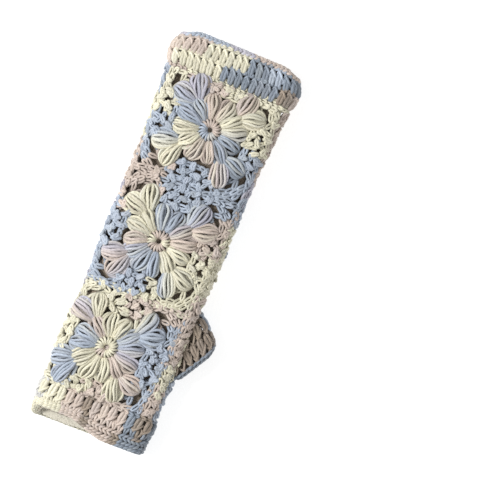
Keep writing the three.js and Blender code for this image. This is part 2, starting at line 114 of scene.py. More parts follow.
# Place along the glove, width, height, and how far the underside is off the table
SECTIONS = np.array([
    (-HALF_LENGTH, HAND_WIDTH, 0.97 * CUFF_HEIGHT, CUFF_RELIEF),
    (HAND_JOIN - 0.3 * HAND_CUFF_LENGTH, 1.01 * HAND_WIDTH, CUFF_HEIGHT, CUFF_RELIEF),
    (HAND_JOIN, 1.02 * HAND_WIDTH, 0.97 * BODY_HEIGHT, PALM_LOW),
    (-0.66 * HALF_LENGTH, BODY_WIDTH, BODY_HEIGHT, PALM_LOW),
    (-0.35 * HALF_LENGTH, 0.98 * BODY_WIDTH, BODY_HEIGHT, PALM_LOW),
    (0.0, BODY_WIDTH, BODY_HEIGHT, PALM_LOW),
    (0.4 * HALF_LENGTH, BODY_WIDTH, BODY_HEIGHT, PALM_LOW),
    (0.68 * HALF_LENGTH, 1.05 * BODY_WIDTH, BODY_HEIGHT, PALM_LOW),
    (WRIST_JOIN, 0.955 * WRIST_WIDTH, 0.97 * BODY_HEIGHT, PALM_LOW),
    (WRIST_JOIN + 0.5 * WRIST_CUFF_LENGTH, WRIST_WIDTH, CUFF_HEIGHT, CUFF_RELIEF),
    (HALF_LENGTH, 0.93 * WRIST_WIDTH, 0.94 * CUFF_HEIGHT, CUFF_RELIEF),
])


def smooth(t):
    """From 0 to 1 with a soft start and end."""
    t = np.clip(t, 0.0, 1.0)
    return t * t * (3 - 2 * t)


def mix(a, b, t):
    return a + (b - a) * t


def outline(around, flat, radius, height):
    """Sideways and up from the middle of a flattened tube, by the distance round from its top."""
    quarter = flat + math.pi / 2 * radius
    a = around - 4 * quarter * np.round(around / (4 * quarter))
    upper = np.abs(a) <= quarter
    d = np.where(upper, a, np.sign(a) * (2 * quarter - np.abs(a)))
    turn = np.maximum(0.0, (np.abs(d) - flat) / radius)
    sideways = np.sign(d) * (np.minimum(np.abs(d), flat) + (radius + height) * np.sin(turn))
    return sideways, np.where(upper, 1, -1) * (radius + height) * np.cos(turn)


def section_at(y):
    """Half width, radius of the sides, half width of the flats, height of the underside, and the
    arc length from the middle of the back to the middle of a side."""
    k = np.clip(np.searchsorted(SECTIONS[:, 0], y) - 1, 0, len(SECTIONS) - 2)
    below, above = SECTIONS[k], SECTIONS[k + 1]
    t = smooth((y - below[..., 0]) / (above[..., 0] - below[..., 0]))
    width, height, low = (mix(below[..., c], above[..., c], t) for c in (1, 2, 3))
    flat = (width - height) / 2
    return width / 2, height / 2, flat, low, flat + math.pi / 2 * height / 2


def twist_at(y):
    """How far the squares are turned round the tube, as a distance round it."""
    share = (MIDDLE_FLOWER_Y + FLOWER_PITCH - y) / (2 * FLOWER_PITCH)
    return -TWIST * np.clip(share, 0.0, 1.2) ** TWIST_POWER


def tube_quarter(y):
    return section_at(np.asarray(y))[4]


def lift_at(x, y, half):
    """How far the thumb sleeve under the tube lifts it, most on the thumb's side."""
    away = np.clip(np.abs(y - LIFT_MIDDLE * THUMB_RIM[1]) / LIFT_REACH, 0.0, 1.0)
    return THUMB_LIFT * np.cos(math.pi / 2 * away) ** 2 * smooth((x + half) / (2 * half))


def setback_at(x, z, y, half, radius, low, start=MOUTH_START):
    """How far the hand rim is drawn back over the back of the hand. It starts at a height above the
    underside, as a share of the side's radius."""
    mouth_y = HAND_JOIN - MOUTH_FROM * HAND_CUFF_LENGTH
    along = smooth((mouth_y - y) / ((1 - MOUTH_FROM) * HAND_CUFF_LENGTH))
    above = smooth((z - low - start * radius) / (1.2 * radius))
    return MOUTH_SETBACK * along * above * smooth((0.35 - x / half) / 0.8)


def corner_reach_at(x, y, half):
    """How far the hand rim runs on towards its outer corner, past a straight rim."""
    along = smooth((HAND_JOIN - y) / HAND_CUFF_LENGTH)
    return HAND_CORNER_REACH * along * np.clip((1 - x / half) / 2, 0, 1)


def tube(path):
    """Places on the tube: columns are distance round from the middle of the back, along, height."""
    around, y, height = np.moveaxis(np.asarray(path, float), -1, 0)
    half, radius, flat, low, _ = section_at(y)
    x, up = outline(around, flat, radius, height)
    z = low + radius + up
    crown = CROWN * np.clip((z - low) / (2 * radius), 0, 1) * np.maximum(0, 1 - (x / half) ** 2)
    return np.stack([
        x,
        y + setback_at(x, z, y, half, radius, low) - corner_reach_at(x, y, half),
        z + crown + lift_at(x, y, half),
    ], -1)


def square(flower_y, side):
    """A square's own surface: columns are across, along from its flower's middle, and height."""
    def surface(path):
        path = np.asarray(path, float)
        y = flower_y + path[..., 1]
        turned = twist_at(y)
        if side == "back":
            around = turned + path[..., 0]
        else:
            around = turned + 2 * tube_quarter(y) - path[..., 0]
        return tube(np.stack([around, y, path[..., 2]], -1))
    return surface


def strip(sign):
    """The side strip's surface: across from its middle, along the glove, and height."""
    def surface(path):
        path = np.asarray(path, float)
        y = path[..., 1]
        around = twist_at(y) + sign * tube_quarter(y) + path[..., 0]
        return tube(np.stack([around, y, path[..., 2]], -1))
    return surface


def thumb_flat(back):
    """Half width of the sleeve's flats, at a distance back from its rim."""
    flare = mix(1, THUMB_FLARE, smooth(back / (0.6 * THUMB_LENGTH)))
    tuck = THUMB_TUCK * (1 - smooth(back / (0.12 * THUMB_LENGTH)))
    return THUMB_WIDTH / 2 * (flare - tuck) - THUMB_ROUND


def thumb_quarter(back):
    return thumb_flat(np.asarray(back)) + math.pi / 2 * THUMB_ROUND


def thumb_lean(back):
    """How far the sleeve leans to the hand end, most at its rim."""
    return -THUMB_LEAN * smooth(1 - back / THUMB_LEAN_REACH)


def thumb(path):
    """The thumb sleeve's surface: distance round from the middle of its top, back from its rim."""
    around, back, height = np.moveaxis(np.asarray(path, float), -1, 0)
    corner = smooth(np.abs(np.abs(around) / thumb_quarter(back) - 1) / -0.5 + 1)
    draw = np.where(around > 0, THUMB_UPPER_DRAW, THUMB_CORNER_DRAW)
    back = back + draw * corner * np.clip(1 - back / THUMB_DRAW_REACH, 0, 1)
    across, up = outline(around, thumb_flat(back), THUMB_ROUND, height)
    middle = THUMB_RIM - back[..., None] * THUMB_ALONG
    point = middle + (across + thumb_lean(back))[..., None] * THUMB_ACROSS
    point[..., 2] += up
    return point


def depth_in_glove(points):
    """How deep points lie under the ground of the tube."""
    x, y, z = np.moveaxis(points, -1, 0)
    half, radius, flat, low, _ = section_at(y)
    middle = low + radius + lift_at(x, y, half)
    return radius - np.hypot(np.maximum(np.abs(x) - flat, 0), z - middle)


def back_in_thumb(points):
    """How far back from the sleeve's rim points lie."""
    return -((points - THUMB_RIM) @ (THUMB_ALONG / (THUMB_ALONG @ THUMB_ALONG)))


def depth_in_thumb(points):
    """How deep points lie under the outer face of the thumb sleeve."""
    back = back_in_thumb(points)
    middle = THUMB_RIM - back[..., None] * THUMB_ALONG
    rest = points - middle
    across = np.abs(rest @ THUMB_ACROSS)
    inside = THUMB_ROUND - np.hypot(np.maximum(across - thumb_flat(back), 0), rest[..., 2])
    return np.where((back > 0) & (back < THUMB_LENGTH), inside, -1.0)


# Yarn. A strand is a row of places on a surface, and a piece is many strands in one mesh. Its
# normal is the way to a place a step higher.
YARN_RADIUS = 1.2
PLIES = 2
PLY_PITCH = 7.0
PLY_LOBE = 0.05
SIDES = 7
SIDE_ANGLES = 2 * math.pi * np.arange(SIDES) / SIDES
NORMAL_STEP = np.array([0.0, 0.0, 0.6])
TABLE_GAP = 0.05

# Painted highlight and shade: a strand's colour is painted paler on its ridge, where the light
# falls, and darker down its sides
RIDGE_PAINTED_LIGHT = 0.2
RIDGE_PAINTED_LIGHT_LEVEL = 0.7
RIDGE_PAINTED_LIGHT_TONE = 1 + RIDGE_PAINTED_LIGHT * (np.cos(SIDE_ANGLES) - RIDGE_PAINTED_LIGHT_LEVEL)

# Painted shade: deep between its neighbours a strand's colour is painted darker, most where the dye
# itself is dark
PAINTED_SHADE_BASE = 0.1
PAINTED_SHADE_BY_DYE = 0.95
PAINTED_SHADE_FROM = -2.5
PAINTED_SHADE_BLEND = 4.0


class Yarn:
    """The strands of one piece, sorted by how many points they have and whether they close. They
    lie on its surface, and keep says which ones stay."""

    def __init__(self, seed, surface, keep=None):
        self.groups = {}
        self.random = np.random.default_rng(seed)
        self.surface = surface
        self.keep = keep

    def keeps(self, path):
        return self.keep is None or self.keep(self.surface(np.asarray(path)))

    def strand(self, path, radius, dye, closed=False, buried_painted_shade=None):
        """Adds one strand, raised where it would go through the table."""
        path = np.asarray(path, float)
        points = self.surface(path)
        over = self.surface(path + NORMAL_STEP)
        n = len(path)
        radii = np.broadcast_to(radius, n)
        sunk = np.maximum(0.0, (1 + PLY_LOBE) * radii + TABLE_GAP - points[:, 2])
        points[:, 2] += sunk
        over[:, 2] += sunk
        # Painted shade for the low parts of a strand, deep between its neighbours
        if buried_painted_shade is None:
            buried_painted_shade = PAINTED_SHADE_BASE + PAINTED_SHADE_BY_DYE * np.mean(dye)
        buried = mix(buried_painted_shade, 1.0, smooth((path[:, 2:] - PAINTED_SHADE_FROM) / PAINTED_SHADE_BLEND))
        dyes = np.broadcast_to(dye, (n, 3)) * buried * self.random.uniform(0.87, 1.08)
        self.groups.setdefault((n, closed), []).append((points, over - points, radii, dyes))

    def mesh(self, name):
        """All the strands as one object."""
        vertices, faces, dyes, plies = [], [], [], []
        first = 0
        for (n, closed), strands in self.groups.items():
            points, normals, radii, dye = (np.array(column) for column in zip(*strands))
            ring, ply = self.rings(points, normals, radii, closed)
            count = len(strands)
            index = first + np.arange(count * n * SIDES).reshape(count, n, SIDES)
            following = np.roll(index, -1, axis=2)
            ahead = np.roll(index, -1, axis=1)
            ahead_following = np.roll(following, -1, axis=1)
            quads = np.stack([index, following, ahead_following, ahead], -1)
            quads = quads if closed else quads[:, :-1]
            faces += quads.reshape(-1, 4).tolist()
            if not closed:
                faces += index[:, 0, ::-1].tolist() + index[:, -1].tolist()
            vertices.append(ring.reshape(-1, 3))
            plies.append(ply.reshape(-1, 3))
            # The dyes are multiplied by a painted highlight on each ridge and painted shade down
            # the sides
            dyes.append((dye[:, :, None] * RIDGE_PAINTED_LIGHT_TONE[:, None]).reshape(-1, 3))
            first += count * n * SIDES
        return make_mesh(name, np.concatenate(vertices), faces, np.concatenate(dyes),
                         np.concatenate(plies))

    def rings(self, points, normals, radii, closed):
        """Rings round the strands, and for each point its place in the plies, along the strand,
        and a number of the strand's own."""
        if closed:
            tangent = np.roll(points, -1, axis=1) - np.roll(points, 1, axis=1)
            step = np.linalg.norm(np.roll(points, -1, axis=1) - points, axis=-1)
        else:
            tangent = np.gradient(points, axis=1)
            step = np.linalg.norm(np.diff(points, axis=1, prepend=points[:, :1]), axis=-1)
        tangent /= np.linalg.norm(tangent, axis=-1, keepdims=True) + 1e-9
        across = np.cross(tangent, normals)
        across /= np.linalg.norm(across, axis=-1, keepdims=True) + 1e-9
        up = np.cross(across, tangent)
        length = np.cumsum(step, axis=1)
        start = self.random.uniform(0, 1, (len(points), 1))
        turns = length / PLY_PITCH + start
        if closed:
            whole = np.maximum(1, np.round(length[:, -1:] / PLY_PITCH))
            turns = length / length[:, -1:] * whole + start
        lobe = 1 + PLY_LOBE * np.cos(PLIES * (SIDE_ANGLES - 2 * math.pi * turns[..., None]))
        r = radii[..., None] * lobe
        ring = points[:, :, None] + (r * np.cos(SIDE_ANGLES))[..., None] * up[:, :, None]
        ring = ring + (r * np.sin(SIDE_ANGLES))[..., None] * across[:, :, None]
        phase = PLIES * (SIDE_ANGLES / (2 * math.pi) - turns[..., None])
        ids = np.broadcast_to(10 * start[..., None], phase.shape)
        ply = np.stack([phase, np.broadcast_to(length[..., None], phase.shape), ids], -1)
        return ring, ply


def add_object(name, data):
    made = bpy.data.objects.new(name, data)
    bpy.context.scene.collection.objects.link(made)
    return made


def make_mesh(name, vertices, faces, dyes, plies):
    mesh = bpy.data.meshes.new(name)
    mesh.from_pydata(((vertices + TUBE_MIDDLE) * MM).tolist(), [], faces)
    mesh.polygons.foreach_set("use_smooth", np.ones(len(mesh.polygons), bool))
    # The dye attribute holds the dyes with painted highlight and painted shade multiplied in
    colour = mesh.color_attributes.new("dye", "FLOAT_COLOR", "POINT")
    colour.data.foreach_set("color", np.column_stack([dyes, np.ones(len(dyes))]).ravel())
    ply = mesh.attributes.new("ply", "FLOAT_VECTOR", "POINT")
    ply.data.foreach_set("vector", plies.ravel())
    mesh.update()
    return add_object(name, mesh)


def linear(r, g, b):
    """A linear colour from an sRGB one of 0 to 255."""
    srgb = np.array([r, g, b]) / 255
    return np.where(srgb <= 0.04045, srgb / 12.92, ((srgb + 0.055) / 1.055) ** 2.4)


# Dyes of the one space-dyed yarn: cream, blue, pink, lilac, grey, dark blue and tan. Dark blue is
# partly a deeper dye and partly painted shade; tan is the pink with painted shade, as on the thumb
# sleeve in the glove's shadow.
DYES = {
    "c": linear(230, 225, 200),
    "b": linear(176, 187, 202),
    "p": linear(210, 194, 182),
    "l": linear(191, 189, 202),
    "g": linear(207, 206, 202),
    "d": linear(138, 149, 162),
    "t": linear(155, 140, 124),
}
NEIGHBOURS = "cbplg"


def dye_along(codes, share):
    """The dye at a share of the way along a row of letters."""
    return DYES[codes[int(np.clip(share, 0, 0.999) * len(codes))]]


def soften(dye, random, amount=0.06):
    """The same dye, a little lighter or darker and a little towards a neighbour's."""
    other = DYES[NEIGHBOURS[random.integers(len(NEIGHBOURS))]]
    return mix(dye, other, random.uniform(0, amount)) * random.uniform(0.96, 1.03)


# Stitches of the net. A chain's loop is longer than its stitch, so that it lies over the next one.
CHAIN_STITCH = 6.1
CHAIN_WIDTH = 5.1
CHAIN_RADIUS = 0.98
CHAIN_RISE = 2.0
CHAIN_OVERLAP = 1.38
CHAIN_WOBBLE = 0.22
ARCH_WIDTH = 4.3
ARCH_RADIUS = 0.9
KNOT_LENGTH = 6.0
KNOT_WIDTH = 2.3
KNOT_RISE = 1.6
LOOP_POINTS = 11
CURVE_STEPS = 8


def loop_path(at, direction, length, width, height, rise):
    """A teardrop loop: its tail is low and narrow, and its head is high and wide."""
    turn = 2 * math.pi * np.arange(LOOP_POINTS) / LOOP_POINTS
    along = -0.5 * length * np.cos(turn)
    across = 0.5 * width * np.sin(turn) * (0.78 - 0.22 * np.cos(turn))
    direction = np.asarray(direction) / np.linalg.norm(direction)
    side = np.array([-direction[1], direction[0]])
    flat = np.asarray(at) + along[:, None] * direction + across[:, None] * side
    return np.column_stack([flat, height - 0.5 * rise * np.cos(turn)])


def resample(points, count):
    """Places at even distances along a smooth curve through points, and its length."""
    points = np.asarray(points, float)
    n = len(points)
    if n > 2:
        fine = []
        padded = np.vstack([2 * points[0] - points[1], points, 2 * points[-1] - points[-2]])
        for k in range(n - 1):
            a, b, c, d = padded[k:k + 4]
            for t in np.arange(CURVE_STEPS) / CURVE_STEPS:
                fine.append(0.5 * ((2 * b) + (c - a) * t + (2 * a - 5 * b + 4 * c - d) * t ** 2
                                   + (3 * b - a - 3 * c + d) * t ** 3))
        points = np.array(fine + [points[-1]])
    run = np.concatenate([[0], np.cumsum(np.linalg.norm(np.diff(points, axis=0), axis=1))])
    want = np.linspace(0, run[-1], count)
    return np.column_stack([np.interp(want, run, column) for column in points.T]), run[-1]


def chain(yarn, points, dye_at, height, stitch=CHAIN_STITCH, width=CHAIN_WIDTH,
          radius=CHAIN_RADIUS):
    """Chain stitches along a line: each is a loop whose head lies on the next one's tail."""
    _, length = resample(points, 2)
    count = max(1, round(length / stitch))
    places, _ = resample(points, 2 * count + 1)
    for i in range(count):
        tail, middle, head = places[2 * i], places[2 * i + 1], places[2 * i + 2]
        wobble = yarn.random.normal(0, CHAIN_WOBBLE, 2)
        path = loop_path(middle + wobble, head - tail, CHAIN_OVERLAP * length / count,
                         width - 2 * radius, height + yarn.random.normal(0, 0.3), CHAIN_RISE)
        if yarn.keeps(path):
            yarn.strand(path, radius * yarn.random.uniform(0.92, 1.08),
                        soften(dye_at(middle), yarn.random), closed=True)


def line(yarn, points, radius, dye, count, taper, buried_painted_shade=None):
    """One bare strand through a few places, thinner at its ends."""
    path, _ = resample(points, count)
    t = np.linspace(0, 1, count)
    radii = radius * (1 - taper + taper * np.sin(math.pi * t) ** 0.5)
    yarn.strand(path, radii, dye, buried_painted_shade=buried_painted_shade)


# Flowers: a ring round the eye, the petals, and two more in each corner. Starts and ends are
# distances from the eye, and the angle is that of a corner's petals off its diagonal.
RING_INSIDE = 2.3
RING_OUTSIDE = 8.6
RING_LOW = -1.4
RING_STRANDS = 18
RING_YARN_RADIUS = 1.0
RING_POINTS = 8
PETAL_COUNT = 12
PETAL_START = 7.4
PETAL_END = 27.6
PETAL_WIDTH = 13.4
CORNER_START = 22.5
CORNER_END = 43.6
CORNER_WIDTH = 16.4
CORNER_ANGLE = 13.8
EYE_HEIGHT = -0.4
PUFF_HEIGHT = {"back": 6.2, "palm": 3.6}

# Strands of a petal: how far apart they are, where their feet are, and the chance and the share of
# cream in one. Layers: strands fewer than on top, reach sideways, share of the height, and tone,
# which on the lower layer is painted shade between the top strands.
PETAL_POINTS = 16
PETAL_STRAND_PITCH = 2.7
PETAL_FOOT = 0.2
PALE_CHANCE = 0.25
PALE_SHARE = 0.25
PETAL_LAYERS = ((1, 0.82, 0.45, 0.74), (0, 1.0, 1.0, 1.0))


def from_eye(radius, angle):
    """The place at a distance from the eye and an angle clockwise from the top."""
    return radius * np.array([math.sin(angle), math.cos(angle)])


def petal(yarn, base, tip, width, height, code):
    """A puff stitch: strands side by side in two layers, gathered at both ends."""
    random = yarn.random
    t = np.linspace(0, 1, PETAL_POINTS)
    swell = t ** 1.1 * (1 - t) ** 0.62
    swell = 0.16 + 0.84 * swell / swell.max()
    bulge = np.sin(math.pi * t ** 1.15) ** 0.75
    bow = random.normal(0, 0.7) * np.sin(math.pi * t)
    width *= random.uniform(0.9, 1.07)
    along = (tip - base) / np.linalg.norm(tip - base)
    side = np.array([along[1], -along[0]])
    top_count = max(5, round((width - 2 * YARN_RADIUS) / PETAL_STRAND_PITCH) + 1)
    for fewer, reach, share, tone in PETAL_LAYERS:
        count = top_count - fewer
        for k, a in enumerate(np.linspace(-reach, reach, count)):
            a += random.normal(0, 0.08)
            wave = 0.65 * np.sin(2 * math.pi * (t + random.uniform())) * swell
            lateral = bow + a * (width / 2 - YARN_RADIUS) * swell + wave
            top = (height - YARN_RADIUS) * share * math.sqrt(max(0.1, 1 - 0.8 * a * a))
            h = PETAL_FOOT + (top - PETAL_FOOT) * bulge * random.uniform(0.78, 1.14)
            flat = mix(base, tip, t[:, None]) + lateral[:, None] * side
            dye = soften(mix(DYES[code[0]], DYES[code[-1]], k / (count - 1)), random, 0.22)
            pale = PALE_SHARE * (random.uniform() < PALE_CHANCE)
            # The lower layer's tone paints shade into its colour, where it lies between the top
            # strands
            dye = tone * mix(dye, DYES["c"], pale)
            fat = 0.62 + 0.38 * np.sin(math.pi * t) ** 0.6
            path = np.column_stack([flat, h])
            if yarn.keeps(path):
                yarn.strand(path, YARN_RADIUS * fat * random.uniform(0.86, 1.14), dye)


def flower(yarn, chart, height):
    """The eye's ring, the petals clockwise from the one left of the top, and two in each corner."""
    random = yarn.random
    for i in range(RING_STRANDS):
        angle = 2 * math.pi * (i + random.uniform(-0.12, 0.12)) / RING_STRANDS
        t = np.linspace(0, 1, RING_POINTS)
        r = mix(RING_INSIDE, RING_OUTSIDE, t)
        bend = angle + 0.12 * np.sin(math.pi * t)
        h = RING_LOW + 0.8 * height * np.sin(math.pi * (0.12 + 0.8 * t)) ** 0.7
        path = np.column_stack([r * np.sin(bend), r * np.cos(bend), h])
        dye = DYES[chart["ring"][i * len(chart["ring"]) // RING_STRANDS]]
        radii = RING_YARN_RADIUS * (0.75 + 0.25 * np.sin(math.pi * t))
        yarn.strand(path, radii, soften(dye, random))
    for i, code in enumerate(chart["petals"].split()):
        angle = 2 * math.pi * (i - 0.5) / PETAL_COUNT + math.radians(random.normal(0, 2.4))
        tip = from_eye(PETAL_END + random.normal(0, 1.1), angle)
        petal(yarn, from_eye(PETAL_START, angle), tip, PETAL_WIDTH, height, code)
    for i, code in enumerate(chart["corners"].split()):
        corner = math.radians(-45 + 90 * (i // 2))
        off = math.radians(CORNER_ANGLE + random.normal(0, 0.8)) * (1 if i % 2 else -1)
        base = from_eye(CORNER_START, corner + 0.18 * off)
        tip = from_eye(CORNER_END + random.normal(0, 0.8), corner + off)
        petal(yarn, base, tip, CORNER_WIDTH, height, code)
    if "eye" in chart:
        knot(yarn, (0.0, 0.0), DYES[chart["eye"]], EYE_HEIGHT)


# The flowers lie a little off their even pitch, as in the photo
FLOWER_Y = {
    "wrist": MIDDLE_FLOWER_Y + FLOWER_PITCH + 1.5,
    "middle": MIDDLE_FLOWER_Y - 0.7,
    "hand": MIDDLE_FLOWER_Y - FLOWER_PITCH + 0.3,
}

# Charts of the squares, in letters of DYES: the ring, the petals and the corners' petals
# clockwise, the net along each side, and a filled eye. Two letters run across one petal.
SQUARES = {
    "back_wrist": {
        "ring": "ppgbbp",
        "petals": "p pc c cg bd bd p p c c b b",
        "corners": "bl l p c bd lp c cb",
        "net": {"top": "pc", "left": "cb", "right": "cb", "bottom": "pbb"},
    },
    "back_middle": {
        "ring": "pcppcp",
        "petals": "b b lp p c c b b bl p c c",
        "corners": "c c bl p c cb lp pl",
        "net": {"top": "pbb", "left": "pbb", "right": "pc", "bottom": "bc"},
    },
    "back_hand": {
        "ring": "cccpcc",
        "petals": "c c b bl lp p c c c b b p",
        "corners": "pl c cb b p c b b",
        "net": {"top": "cp", "left": "c", "right": "b", "bottom": "cp"},
        "eye": "p",
    },
    "palm_wrist": {
        "ring": "ccppcc",
        "petals": "b bl p p pc c c c b b p pc",
        "corners": "c c p pl b b c cp",
        "net": {"top": "c", "left": "bc", "right": "cp", "bottom": "bp"},
    },
    "palm_middle": {
        "ring": "bbclbb",
        "petals": "p pc c c b b bl p p c c b",
        "corners": "b b c c p p lb b",
        "net": {"top": "bp", "left": "cp", "right": "bc", "bottom": "cb"},
    },
    "palm_hand": {
        "ring": "pppcpp",
        "petals": "c c b b l p p c c b b p",
        "corners": "b b c cp b b p p",
        "net": {"top": "cb", "left": "bp", "right": "cb", "bottom": "pc"},
    },
}

# Net: cords and ties on one side of a square and in the corner clockwise of it, as places across
# and outwards from the square's middle
NET_TIPS = [(-16.5, 29.0), (-12.0, 30.6), (-7.2, 28.6), (-3.6, 30.0), (0.0, 28.2), (3.6, 30.0),
            (7.2, 28.6), (12.0, 30.6), (16.5, 29.0)]
NET_ARCH = [(-4.8, 0.0), (-4.6, 2.8), (-2.6, 5.6), (0.0, 6.6), (2.6, 5.6), (4.6, 2.8), (4.8, 0.0)]
NET_ARCH_FEET = [(-4.8, 29.8), (4.8, 29.8), (-9.6, 35.4), (0.0, 35.4), (9.6, 35.4)]
NET_TIES = [(-9.6, 30.4), (0.0, 29.6), (9.6, 30.4), (-14.4, 36.0), (-4.8, 36.2), (4.8, 36.2),
            (14.4, 36.0)]
NET_EDGE = [(-20.0, 43.4), (-14.4, 44.6), (-9.6, 42.8), (-4.8, 44.6), (0.0, 42.8), (4.8, 44.6),
            (9.6, 42.8), (14.4, 44.6), (20.0, 43.4)]
NET_EDGE_TIES = [(-9.6, 42.4), (0.0, 42.4), (9.6, 42.4)]

NET_GROUND = [[(r * math.sin(a), r * math.cos(a)) for a in np.radians(np.arange(18, 73, 9))]
              for r in (33.0, 41.0)]
NET_CORNER = [(15.0, 33.0), (17.6, 38.4), (23.0, 41.8), (28.4, 41.4), (33.0, 38.6), (38.6, 33.0),
              (41.4, 28.4), (41.8, 23.0), (38.4, 17.6), (33.0, 15.0)]
NET_CORNER_SPUR = [(27.5, 33.5), (33.5, 34.0), (37.5, 30.5), (38.5, 24.5)]
NET_CORNER_FILL = [(30.5, 41.0), (36.5, 39.5), (39.5, 36.5), (41.0, 30.5)]
NET_CORNER_EDGE = [(20.0, 43.4), (26.0, 44.6), (32.0, 43.4), (38.0, 44.4), (43.6, 43.6),
                   (44.4, 38.0), (43.4, 32.0), (44.6, 26.0), (43.4, 20.0)]
NET_CORNER_TIES = [(15.6, 37.0), (23.0, 43.0), (43.0, 23.0), (37.0, 15.6)]

# A square is cut short at a cuff: places up to the reach past its join are kept and laid inside it
CUT_REACH = 3.0
CUT_MARGIN = 1.8
NET_SPAN = 90.0

# Side strips: the step between places on their cords, how far and in what length the wavy ones
# swing, and the dyes from the wrist to the hand
STRIP_STEP = 3.5
STRIP_SWING = 3.4
STRIP_WAVE = 14.0
STRIP_DYES = {"thumb": "ppplbcccpppcp", "outer": "bccpplbbllccc"}


def quarter_turn(points, k):
    """The points turned k quarters clockwise."""
    points = np.asarray(points, float)
    for _ in range(k):
        points = np.column_stack([points[:, 1], -points[:, 0]])
    return points


def knot(yarn, at, dye, height):
    """Two loops across each other, where cords meet."""
    for _ in range(2):
        turn = yarn.random.uniform(0, 2 * math.pi)
        place = np.asarray(at) + yarn.random.normal(0, 0.7, 2)
        direction = (math.cos(turn), math.sin(turn))
        path = loop_path(place, direction, KNOT_LENGTH, KNOT_WIDTH, height, KNOT_RISE)
        if yarn.keeps(path):
            yarn.strand(path, CHAIN_RADIUS * yarn.random.uniform(0.95, 1.12),
                        soften(dye, yarn.random, 0.15), closed=True)


def net(yarn, dyes, part):
    """The chain net round one flower, cut short on the side of a cuff."""
    short = {"wrist": "top", "hand": "bottom"}.get(part)
    limit = {"top": WRIST_JOIN - FLOWER_Y[part], "bottom": FLOWER_Y[part] - HAND_JOIN}.get(short)
    outwards = 1 if short == "top" else -1

    def dye_at(place):
        p, q = place
        if abs(p) > abs(q):
            side, way = "right" if p > 0 else "left", -q
        else:
            side, way = "top" if q > 0 else "bottom", p
        return dye_along(dyes[side], way / NET_SPAN + 0.5 + yarn.random.normal(0, 0.04))

    def ready(points, k):
        points = quarter_turn(points, k)
        points = points + yarn.random.normal(0, 0.5, points.shape)
        if short:
            points = points[outwards * points[:, 1] < limit + CUT_REACH]
            points[:, 1] = outwards * np.minimum(outwards * points[:, 1], limit - CUT_MARGIN)
        return points

    def lay(points, k, height, width=CHAIN_WIDTH, radius=CHAIN_RADIUS):
        points = ready(points, k)
        if len(points) > 1:
            chain(yarn, points, dye_at, height, CHAIN_STITCH, width, radius)

    def tie(points, k, height):
        for place in ready(points, k):
            knot(yarn, place, dye_at(place), height)

    for k, side in enumerate(("top", "right", "bottom", "left")):
        lay(NET_TIPS, k, height=0.9)
        for foot in NET_ARCH_FEET:
            lay(np.array(NET_ARCH) + np.array(foot), k, 0.8, ARCH_WIDTH, ARCH_RADIUS)
        tie(NET_TIES, k, height=2.2)
        lay(NET_EDGE, k, height=0.2)
        if side != short:
            tie(NET_EDGE_TIES, k, height=1.8)
        for arc in NET_GROUND:
            lay(arc, k, height=-1.4)
        lay(NET_CORNER, k, height=0.1)
        lay(NET_CORNER_SPUR, k, height=-0.4)
        lay(NET_CORNER_FILL, k, height=-0.6)
        lay(NET_CORNER_EDGE, k, height=-0.4)
        tie(NET_CORNER_TIES, k, height=0.8)


def strip_net(yarn, codes):
    """Two wavy cords that cross down the side and leave gaps, between two straighter ones."""
    y = np.arange(HAND_JOIN + 2, WRIST_JOIN - 1, STRIP_STEP)

    def dye_at(place):
        share = (WRIST_JOIN - place[1]) / (WRIST_JOIN - HAND_JOIN) + yarn.random.normal(0, 0.015)
        return dye_along(codes, share)

    for phase in (0.0, math.pi):
        wave = STRIP_SWING * np.cos(2 * math.pi * y / STRIP_WAVE + phase)
        wave = wave + yarn.random.normal(0, 0.4, len(y))
        chain(yarn, np.column_stack([wave, y]), dye_at, height=0.3)
    for edge in (-SIDE_STRIP_WIDTH / 2, SIDE_STRIP_WIDTH / 2):
        path = np.column_stack([edge + yarn.random.normal(0, 0.4, len(y)), y])
        chain(yarn, path, dye_at, height=-0.4)
    for place in np.arange(y[0], y[-1], STRIP_WAVE / 2):
        at = np.array([0.0, place + STRIP_WAVE / 4])
        knot(yarn, at, dye_at(at), height=1.0)


# Strands of a stitch in a round row: points as shares of half the pitch, of the row and of its
# height, then how thick the strand is and how light it is painted: the wraps on top paler as
# painted highlight, the legs under them darker as painted shade, and one leg of a V lit more than
# the other
LEAF = [
    ([(0.05, -0.05, -0.6), (-0.32, 0.18, 0.7), (-0.42, 0.42, 0.9), (-0.28, 0.75, 0.7),
      (-0.1, 1.0, 0.0)], 1.0, 0.94),
    ([(0.15, -0.05, -0.6), (0.38, 0.2, 0.7), (0.36, 0.45, 0.9), (0.2, 0.78, 0.7),
      (0.0, 1.0, 0.0)], 1.0, 0.94),
    ([(-0.9, 1.02, 0.4), (-0.15, 0.88, 1.25), (0.6, 0.66, 1.3), (1.1, 0.38, 0.2)], 0.6, 1.1),
    ([(0.4, 1.06, 0.4), (-0.45, 0.92, 1.0), (-1.0, 0.68, 0.1)], 0.6, 1.05),
]
VEE = [
    ([(-0.75, -0.1, 0.0), (-0.5, 0.5, 1.0), (-0.05, 1.1, 0.1)], 0.85, 1.05),
    ([(0.7, -0.1, 0.0), (0.5, 0.5, 0.9), (0.1, 1.1, 0.1)], 0.85, 0.98),
]
STITCH_POINTS = 10
STITCH_TAPER = 0.4

# A strand of a rope: across as a share of its length, along as a share of its rise, and up
ROPE_STRAND = [(-0.5, -1.0, -1.8), (-0.22, -0.6, 0.3), (0.15, 0.3, 0.7), (0.5, 1.0, -1.5)]
ROPE_STEP = 0.6
ROPE_POINTS = 9
ROPE_TAPER = 0.45
ROUND_POINTS = 41


